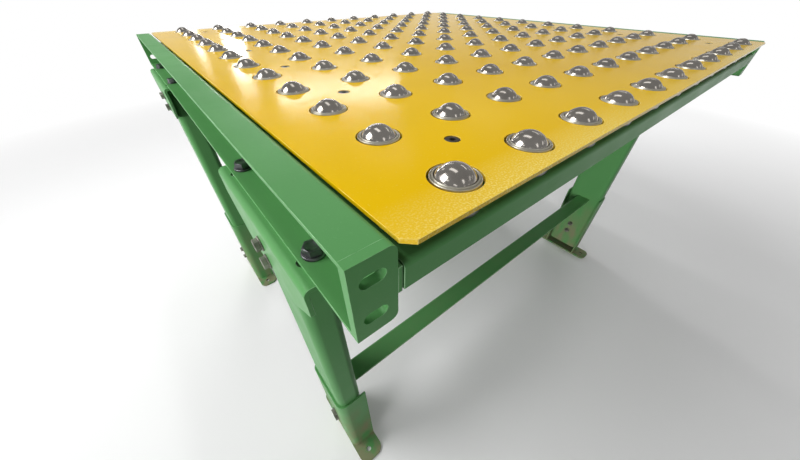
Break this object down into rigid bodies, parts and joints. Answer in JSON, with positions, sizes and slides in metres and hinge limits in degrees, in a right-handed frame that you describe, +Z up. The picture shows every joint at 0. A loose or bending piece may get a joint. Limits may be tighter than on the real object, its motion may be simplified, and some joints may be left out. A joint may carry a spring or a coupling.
{
  "type": "ball transfer table",
  "caption": "Stand-mounted conveyor table with a grid of captured steel balls in a cover plate, channel side rails with slotted end plates and level-adjusting feet.",
  "frame": {"origin": "on the floor below the centre of the table", "axes": "+X across the two side rails, +Y along them, +Z up"},
  "size_m": [1.2714, 1.172, 0.851],
  "materials": {
    "yellow_paint": "gloss",
    "green_paint": "satin",
    "polished_ball": "polished",
    "chromed_crown": "bright pressed",
    "zinc_cup": "zinc plated",
    "bearing_steel": "hardened",
    "zinc_fixing": "zinc plated",
    "dark_fastener": "black oxide"
  },
  "bodies": {
    "frame": {"ball_cups": "zinc_cup", "bearing_beds": "bearing_steel", "channel_cleats": "green_paint", "cross_channel_1": "green_paint", "cross_channel_2": "green_paint", "cross_channel_3": "green_paint", "cross_channel_4": "green_paint", "cross_channel_5": "green_paint", "cross_channel_6": "green_paint", "crown_caps": "chromed_crown", "deck_nuts": "zinc_fixing", "deck_plate": "yellow_paint", "deck_screws": "zinc_fixing", "deck_spacers": "zinc_fixing", "far_brace": "green_paint", "foot_bolts": "dark_fastener", "foot_nuts": "dark_fastener", "foot_washers": "dark_fastener", "left_far_bracket": "green_paint", "left_far_end_plate": "green_paint", "left_far_leg": "green_paint", "left_near_bracket": "green_paint", "left_near_end_plate": "green_paint", "left_near_leg": "green_paint", "left_rail": "green_paint", "leg_bolts": "dark_fastener", "leg_nuts": "dark_fastener", "leg_washers": "dark_fastener", "near_brace": "green_paint", "rail_bolts": "dark_fastener", "rail_nuts": "dark_fastener", "rail_washers": "dark_fastener", "right_far_bracket": "green_paint", "right_far_end_plate": "green_paint", "right_far_leg": "green_paint", "right_near_bracket": "green_paint", "right_near_end_plate": "green_paint", "right_near_leg": "green_paint", "right_rail": "green_paint"},
    "ball_row_01_body": {"ball_row_01": "polished_ball"},
    "ball_row_02_body": {"ball_row_02": "polished_ball"},
    "ball_row_03_body": {"ball_row_03": "polished_ball"},
    "ball_row_04_body": {"ball_row_04": "polished_ball"},
    "ball_row_05_body": {"ball_row_05": "polished_ball"},
    "ball_row_06_body": {"ball_row_06": "polished_ball"},
    "ball_row_07_body": {"ball_row_07": "polished_ball"},
    "ball_row_08_body": {"ball_row_08": "polished_ball"},
    "ball_row_09_body": {"ball_row_09": "polished_ball"},
    "ball_row_10_body": {"ball_row_10": "polished_ball"},
    "ball_row_11_body": {"ball_row_11": "polished_ball"},
    "ball_row_12_body": {"ball_row_12": "polished_ball"},
    "left_near_foot_body": {"left_near_foot": "green_paint"},
    "left_far_foot_body": {"left_far_foot": "green_paint"},
    "right_near_foot_body": {"right_near_foot": "green_paint"},
    "right_far_foot_body": {"right_far_foot": "green_paint"}
  },
  "joints": [
    {"name": "ball_row_01_roll", "type": "hinge", "parent": "frame", "child": "ball_row_01_body", "pos_m": [0, -0.55, 0.832], "axis": [1, 0, 0], "continuous": true},
    {"name": "ball_row_02_roll", "type": "hinge", "parent": "frame", "child": "ball_row_02_body", "pos_m": [0, -0.45, 0.832], "axis": [1, 0, 0], "continuous": true},
    {"name": "ball_row_03_roll", "type": "hinge", "parent": "frame", "child": "ball_row_03_body", "pos_m": [0, -0.35, 0.832], "axis": [1, 0, 0], "continuous": true},
    {"name": "ball_row_04_roll", "type": "hinge", "parent": "frame", "child": "ball_row_04_body", "pos_m": [0, -0.25, 0.832], "axis": [1, 0, 0], "continuous": true},
    {"name": "ball_row_05_roll", "type": "hinge", "parent": "frame", "child": "ball_row_05_body", "pos_m": [0, -0.15, 0.832], "axis": [1, 0, 0], "continuous": true},
    {"name": "ball_row_06_roll", "type": "hinge", "parent": "frame", "child": "ball_row_06_body", "pos_m": [0, -0.05, 0.832], "axis": [1, 0, 0], "continuous": true},
    {"name": "ball_row_07_roll", "type": "hinge", "parent": "frame", "child": "ball_row_07_body", "pos_m": [0, 0.05, 0.832], "axis": [1, 0, 0], "continuous": true},
    {"name": "ball_row_08_roll", "type": "hinge", "parent": "frame", "child": "ball_row_08_body", "pos_m": [0, 0.15, 0.832], "axis": [1, 0, 0], "continuous": true},
    {"name": "ball_row_09_roll", "type": "hinge", "parent": "frame", "child": "ball_row_09_body", "pos_m": [0, 0.25, 0.832], "axis": [1, 0, 0], "continuous": true},
    {"name": "ball_row_10_roll", "type": "hinge", "parent": "frame", "child": "ball_row_10_body", "pos_m": [0, 0.35, 0.832], "axis": [1, 0, 0], "continuous": true},
    {"name": "ball_row_11_roll", "type": "hinge", "parent": "frame", "child": "ball_row_11_body", "pos_m": [0, 0.45, 0.832], "axis": [1, 0, 0], "continuous": true},
    {"name": "ball_row_12_roll", "type": "hinge", "parent": "frame", "child": "ball_row_12_body", "pos_m": [0, 0.55, 0.832], "axis": [1, 0, 0], "continuous": true},
    {"name": "left_near_foot_level", "type": "slide", "parent": "frame", "child": "left_near_foot_body", "axis": [0, 0, 1], "range_m": [-0.02, 0.02]},
    {"name": "left_far_foot_level", "type": "slide", "parent": "frame", "child": "left_far_foot_body", "axis": [0, 0, 1], "range_m": [-0.02, 0.02]},
    {"name": "right_near_foot_level", "type": "slide", "parent": "frame", "child": "right_near_foot_body", "axis": [0, 0, 1], "range_m": [-0.02, 0.02]},
    {"name": "right_far_foot_level", "type": "slide", "parent": "frame", "child": "right_far_foot_body", "axis": [0, 0, 1], "range_m": [-0.02, 0.02]}
  ]
}
